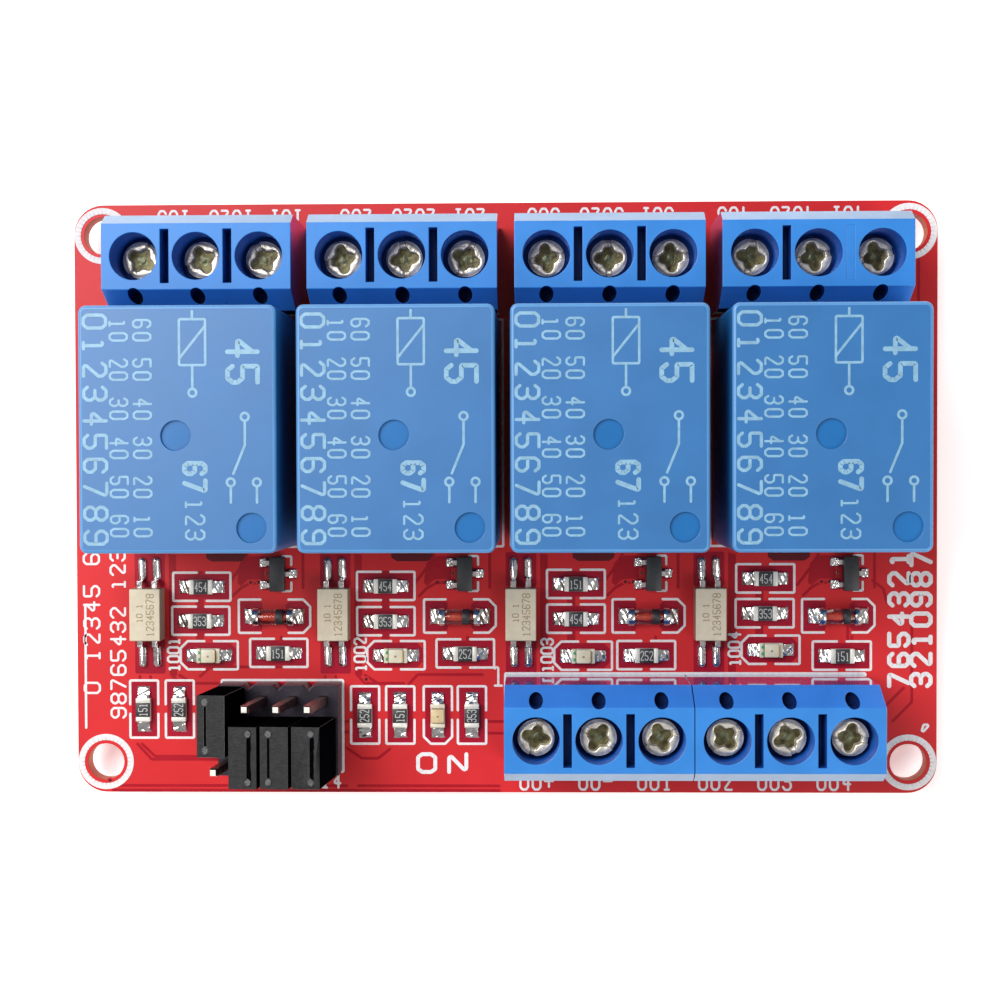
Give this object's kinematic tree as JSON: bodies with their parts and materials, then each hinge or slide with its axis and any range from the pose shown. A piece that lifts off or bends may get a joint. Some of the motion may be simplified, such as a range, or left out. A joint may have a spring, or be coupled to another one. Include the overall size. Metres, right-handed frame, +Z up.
{
  "type": "relay module board",
  "caption": "Circuit board with opto-isolated relays, screw terminals for loads and inputs, status lamps and trigger-level jumpers.",
  "frame": {"origin": "middle of the four mounting holes, on the underside of the circuit board", "axes": "+X along the row of relays, +Y towards the relay terminals, +Z up from the component side of the board"},
  "size_m": [0.073, 0.05, 0.0189],
  "materials": {
    "solder_mask": "red solder mask on glass-fibre board",
    "solder": "tin solder",
    "relay_blue": "satin moulded plastic",
    "relay_base": "moulded plastic",
    "bobbin_plastic": "moulded plastic",
    "copper_wire": "enamelled copper winding",
    "relay_iron": "nickel-plated soft iron",
    "contact_bronze": "tinned bronze strip",
    "terminal_blue": "moulded nylon",
    "screw_zinc": "zinc-plated steel",
    "cage_brass": "plated brass",
    "tinned_pins": "tin-plated pins and leads",
    "black_plastic": "black moulded plastic",
    "gold_pins": "thin gold plating",
    "coupler_resin": "cream moulding compound",
    "chip_black": "black moulding compound",
    "diode_glass": "tinted glass over a black band",
    "resistor_dark": "dark glaze",
    "lamp_resin": "milky lamp resin"
  },
  "bodies": {
    "board": {"circuit_board": "solder_mask", "solder_joints": "solder", "relay_case_1": "relay_blue", "relay_case_2": "relay_blue", "relay_case_3": "relay_blue", "relay_case_4": "relay_blue", "relay_bases": "relay_base", "relay_bobbins": "bobbin_plastic", "relay_coils": "copper_wire", "relay_cores": "relay_iron", "relay_yokes": "relay_iron", "relay_common_strips": "contact_bronze", "relay_closed_contacts": "contact_bronze", "relay_open_contacts": "contact_bronze", "relay_coil_pins": "tinned_pins", "terminal_housing_1": "terminal_blue", "terminal_housing_2": "terminal_blue", "terminal_housing_3": "terminal_blue", "terminal_housing_4": "terminal_blue", "terminal_housing_5": "terminal_blue", "terminal_housing_6": "terminal_blue", "terminal_screws_1": "screw_zinc", "terminal_screws_2": "screw_zinc", "terminal_screws_3": "screw_zinc", "terminal_screws_4": "screw_zinc", "terminal_screws_5": "screw_zinc", "terminal_screws_6": "screw_zinc", "terminal_cages": "cage_brass", "terminal_pins": "tinned_pins", "header_body": "black_plastic", "header_pins": "gold_pins", "photocouplers": "coupler_resin", "photocoupler_leads": "tinned_pins", "transistors": "chip_black", "transistor_leads": "tinned_pins", "diode_glass": "diode_glass", "diode_ends": "tinned_pins", "chip_resistors": "resistor_dark", "chip_ends": "tinned_pins", "channel_lamps": "lamp_resin", "power_lamp": "lamp_resin"},
    "armature_1": {"relay_armature_1": "relay_iron", "relay_leaf_1": "contact_bronze"},
    "jumper_1": {"jumper_cap_1": "black_plastic", "jumper_clip_1": "cage_brass"},
    "armature_2": {"relay_armature_2": "relay_iron", "relay_leaf_2": "contact_bronze"},
    "jumper_2": {"jumper_cap_2": "black_plastic", "jumper_clip_2": "cage_brass"},
    "armature_3": {"relay_armature_3": "relay_iron", "relay_leaf_3": "contact_bronze"},
    "jumper_3": {"jumper_cap_3": "black_plastic", "jumper_clip_3": "cage_brass"},
    "armature_4": {"relay_armature_4": "relay_iron", "relay_leaf_4": "contact_bronze"},
    "jumper_4": {"jumper_cap_4": "black_plastic", "jumper_clip_4": "cage_brass"}
  },
  "joints": [
    {"name": "armature_1_hinge", "type": "hinge", "parent": "board", "child": "armature_1", "pos_m": [-0.02465, -0.0004, 0.0122], "axis": [1, 0, 0], "range_deg": [-3.5, 0], "stiffness_Nm_per_rad": 0.002, "springref_deg": 2.86},
    {"name": "armature_2_hinge", "type": "hinge", "parent": "board", "child": "armature_2", "pos_m": [-0.00795, -0.0004, 0.0122], "axis": [1, 0, 0], "range_deg": [-3.5, 0], "stiffness_Nm_per_rad": 0.002, "springref_deg": 2.86},
    {"name": "armature_3_hinge", "type": "hinge", "parent": "board", "child": "armature_3", "pos_m": [0.0084, -0.0004, 0.0122], "axis": [1, 0, 0], "range_deg": [-3.5, 0], "stiffness_Nm_per_rad": 0.002, "springref_deg": 2.86},
    {"name": "armature_4_hinge", "type": "hinge", "parent": "board", "child": "armature_4", "pos_m": [0.02525, -0.0004, 0.0122], "axis": [1, 0, 0], "range_deg": [-3.5, 0], "stiffness_Nm_per_rad": 0.002, "springref_deg": 2.86},
    {"name": "jumper_1_lift", "type": "slide", "parent": "board", "child": "jumper_1", "axis": [-0.1045, 0, 0.9945], "range_m": [0, 0.0075]},
    {"name": "jumper_2_lift", "type": "slide", "parent": "board", "child": "jumper_2", "axis": [-0.1045, 0, 0.9945], "range_m": [0, 0.0075]},
    {"name": "jumper_3_lift", "type": "slide", "parent": "board", "child": "jumper_3", "axis": [-0.1045, 0, 0.9945], "range_m": [0, 0.0075]},
    {"name": "jumper_4_lift", "type": "slide", "parent": "board", "child": "jumper_4", "axis": [-0.1045, 0, 0.9945], "range_m": [0, 0.0075]}
  ]
}
